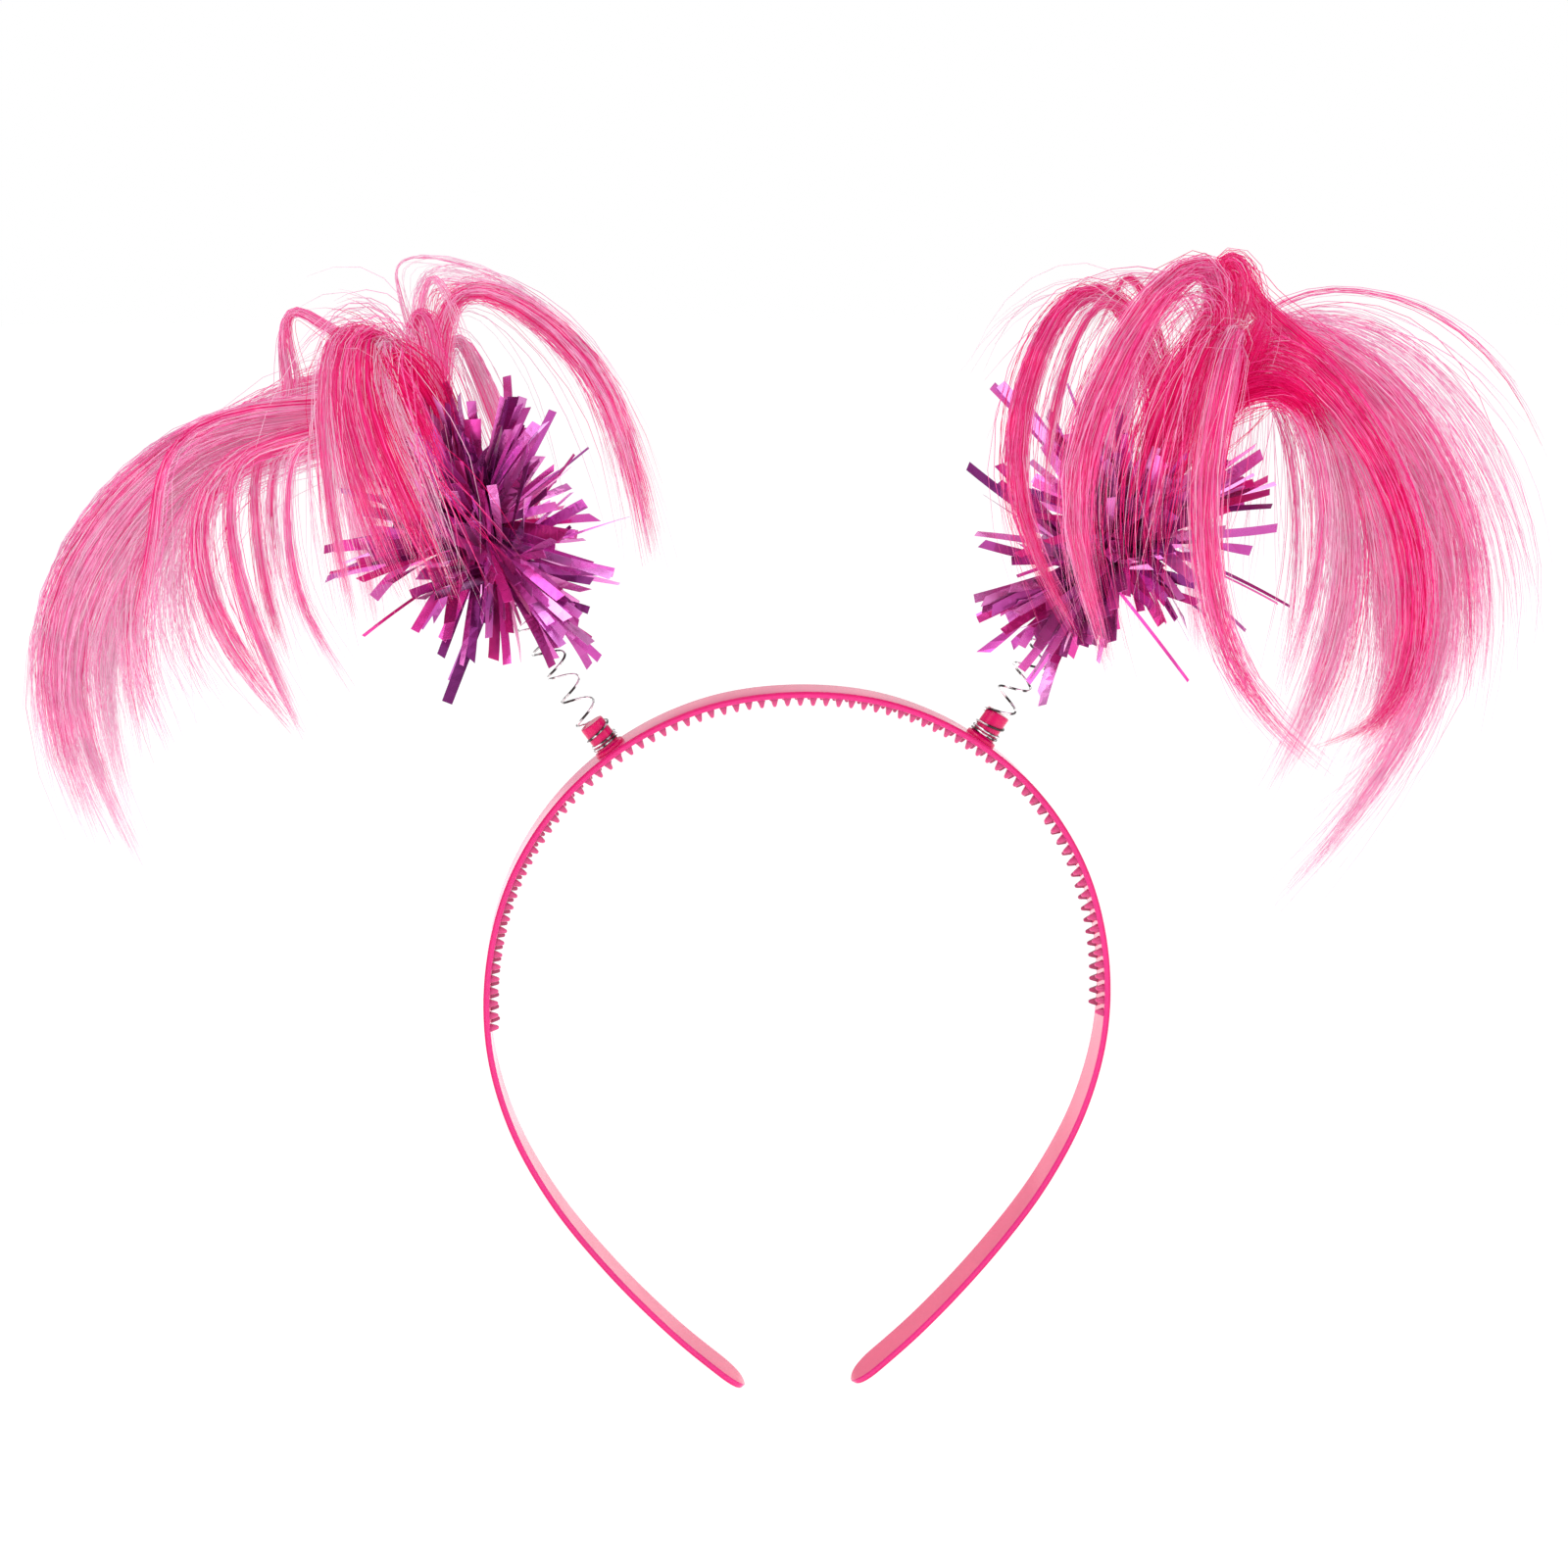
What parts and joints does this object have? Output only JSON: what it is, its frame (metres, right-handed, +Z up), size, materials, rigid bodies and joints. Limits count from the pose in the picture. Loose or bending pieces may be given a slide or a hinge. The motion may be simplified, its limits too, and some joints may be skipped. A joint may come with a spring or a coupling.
{
  "type": "head bopper",
  "caption": "Toothed plastic headband with a coil spring on each side of its crown, and on each spring a foil strip pompom under a tuft of artificial hair.",
  "frame": {"origin": "seat on the crown of the head: the middle of the band's inner side, at the tips of its teeth", "axes": "+Z up, -Y the front, +X to the right seen from the front; the band's arch lies in the XZ plane and its two legs point down"},
  "size_m": [0.3066, 0.0729, 0.2385],
  "materials": {
    "band_plastic": "translucent moulded plastic, satin to gloss",
    "spring_steel": "bright drawn wire",
    "tie_thread": "wound thread, matte",
    "tinsel_foil": "metallic foil strips, gloss",
    "hair_fibre": "artificial hair, soft sheen"
  },
  "bodies": {
    "headband": {"headband": "band_plastic"},
    "coil_left": {"spring_left": "spring_steel"},
    "bopper_left": {"tie_left": "tie_thread", "tinsel_left": "tinsel_foil", "hair_left": "hair_fibre"},
    "coil_right": {"spring_right": "spring_steel"},
    "bopper_right": {"tie_right": "tie_thread", "tinsel_right": "tinsel_foil", "hair_right": "hair_fibre"}
  },
  "joints": [
    {"name": "sway_left", "type": "hinge", "parent": "headband", "child": "coil_left", "pos_m": [-0.04583, 0, 0.00297], "axis": [0, 1, 0], "range_deg": [-25, 25], "stiffness_Nm_per_rad": 0.01, "springref_deg": 9.11, "deforming": ["spring_left"]},
    {"name": "nod_left", "type": "hinge", "parent": "coil_left", "child": "bopper_left", "pos_m": [-0.05216, 0, 0.01432], "axis": [1, 0, 0], "range_deg": [-25, 25], "stiffness_Nm_per_rad": 0.01, "springref_deg": -0.12, "deforming": ["spring_left"]},
    {"name": "sway_right", "type": "hinge", "parent": "headband", "child": "coil_right", "pos_m": [0.04493, 0, 0.00364], "axis": [0, 1, 0], "range_deg": [-25, 25], "stiffness_Nm_per_rad": 0.01, "springref_deg": -11.83, "deforming": ["spring_right"]},
    {"name": "nod_right", "type": "hinge", "parent": "coil_right", "child": "bopper_right", "pos_m": [0.05186, 0, 0.01463], "axis": [1, 0, 0], "range_deg": [-25, 25], "stiffness_Nm_per_rad": 0.01, "springref_deg": -0.44, "deforming": ["spring_right"]}
  ]
}
